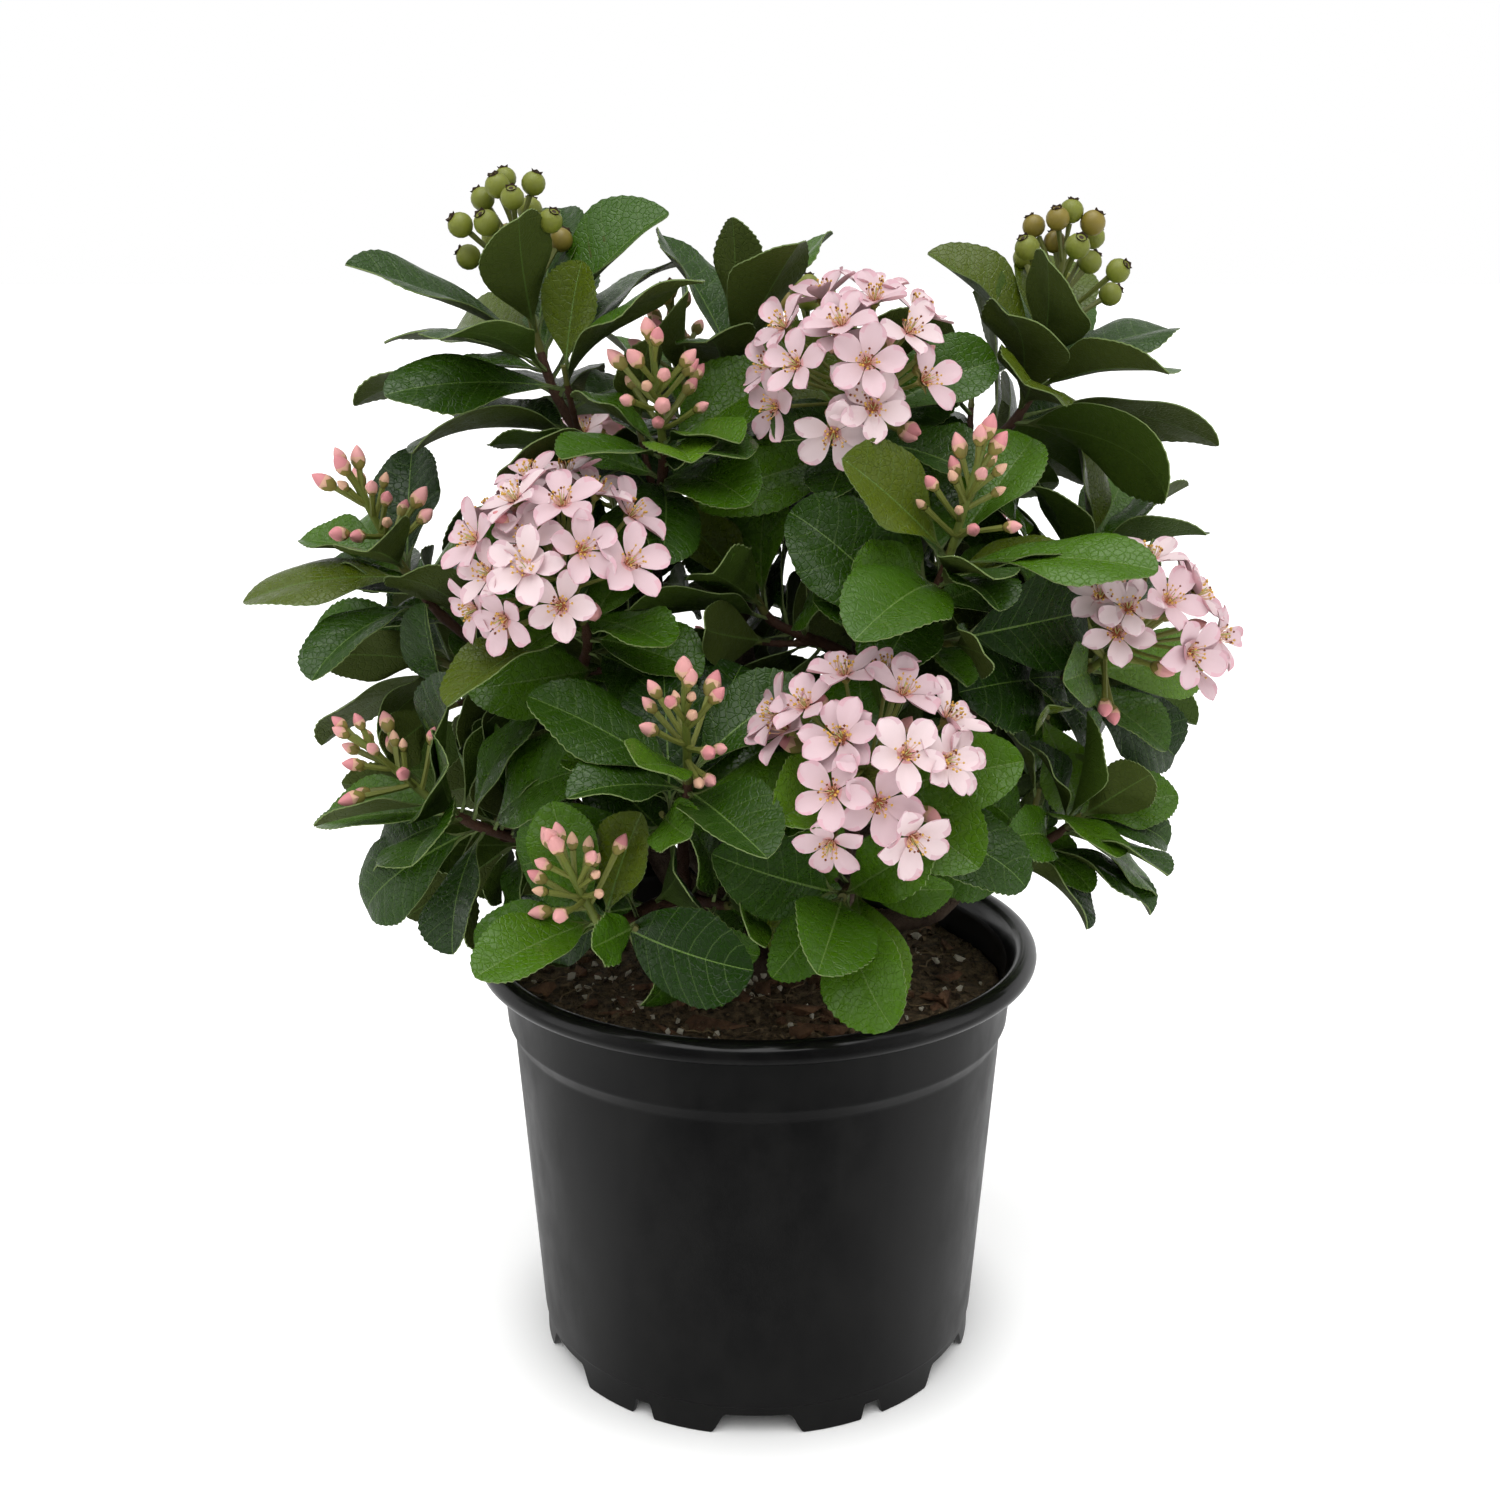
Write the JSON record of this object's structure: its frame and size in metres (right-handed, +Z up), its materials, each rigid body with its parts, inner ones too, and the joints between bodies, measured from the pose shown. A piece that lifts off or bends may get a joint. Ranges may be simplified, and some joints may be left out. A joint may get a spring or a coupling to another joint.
{
  "type": "potted indian hawthorn",
  "caption": "Evergreen Indian hawthorn shrub with leathery leaf whorls, pink blossom, buds and green berries, growing from a short trunk in a round black nursery pot filled with potting mix.",
  "frame": {"origin": "on the floor at the centre of the pot's foot, on the pot's axis, which is also the centre of the plant's bounding box in plan", "axes": "+Z up along the pot's axis and the plant's height, -Y towards the plant's front, +X to the right seen from the front"},
  "size_m": [0.278, 0.2253, 0.3449],
  "materials": {
    "black_plastic": "black moulded nursery pot plastic with a soft sheen",
    "potting_mix": "moist dark potting mix of fine bark, peat and perlite",
    "bark": "thin red-brown bark with fine ridges",
    "foliage": "glossy dark evergreen leaves, with pink petals and buds and olive-green berries"
  },
  "bodies": {
    "root": {"pot": "black_plastic", "potting_mix": "potting_mix", "trunk": "bark", "bough_back": "bark", "bough_back_left": "bark", "bough_back_right": "bark", "bough_far_right": "bark", "bough_front": "bark", "bough_front_left": "bark", "bough_left": "bark", "bough_low_back": "bark", "bough_low_left": "bark", "bough_low_right": "bark", "bough_right": "bark", "bough_top_left": "bark", "bough_top_right": "bark", "berries_back": "foliage", "berries_left": "foliage", "berries_right": "foliage", "blossom_back_left": "foliage", "blossom_back_right": "foliage", "blossom_front": "foliage", "blossom_left": "foliage", "blossom_right": "foliage", "blossom_top": "foliage", "buds_back_low": "foliage", "buds_back_right": "foliage", "buds_back_top": "foliage", "buds_far_left": "foliage", "buds_front": "foliage", "buds_low_left": "foliage", "buds_middle": "foliage", "buds_right": "foliage", "buds_top": "foliage", "leaves_back_left": "foliage", "leaves_back_low_left": "foliage", "leaves_back_right": "foliage", "leaves_far_right": "foliage", "leaves_front": "foliage", "leaves_left": "foliage", "leaves_low_back": "foliage", "leaves_low_front": "foliage", "leaves_low_left": "foliage", "leaves_low_right": "foliage", "leaves_low_side": "foliage", "leaves_middle": "foliage", "leaves_top": "foliage"}
  },
  "joints": []
}
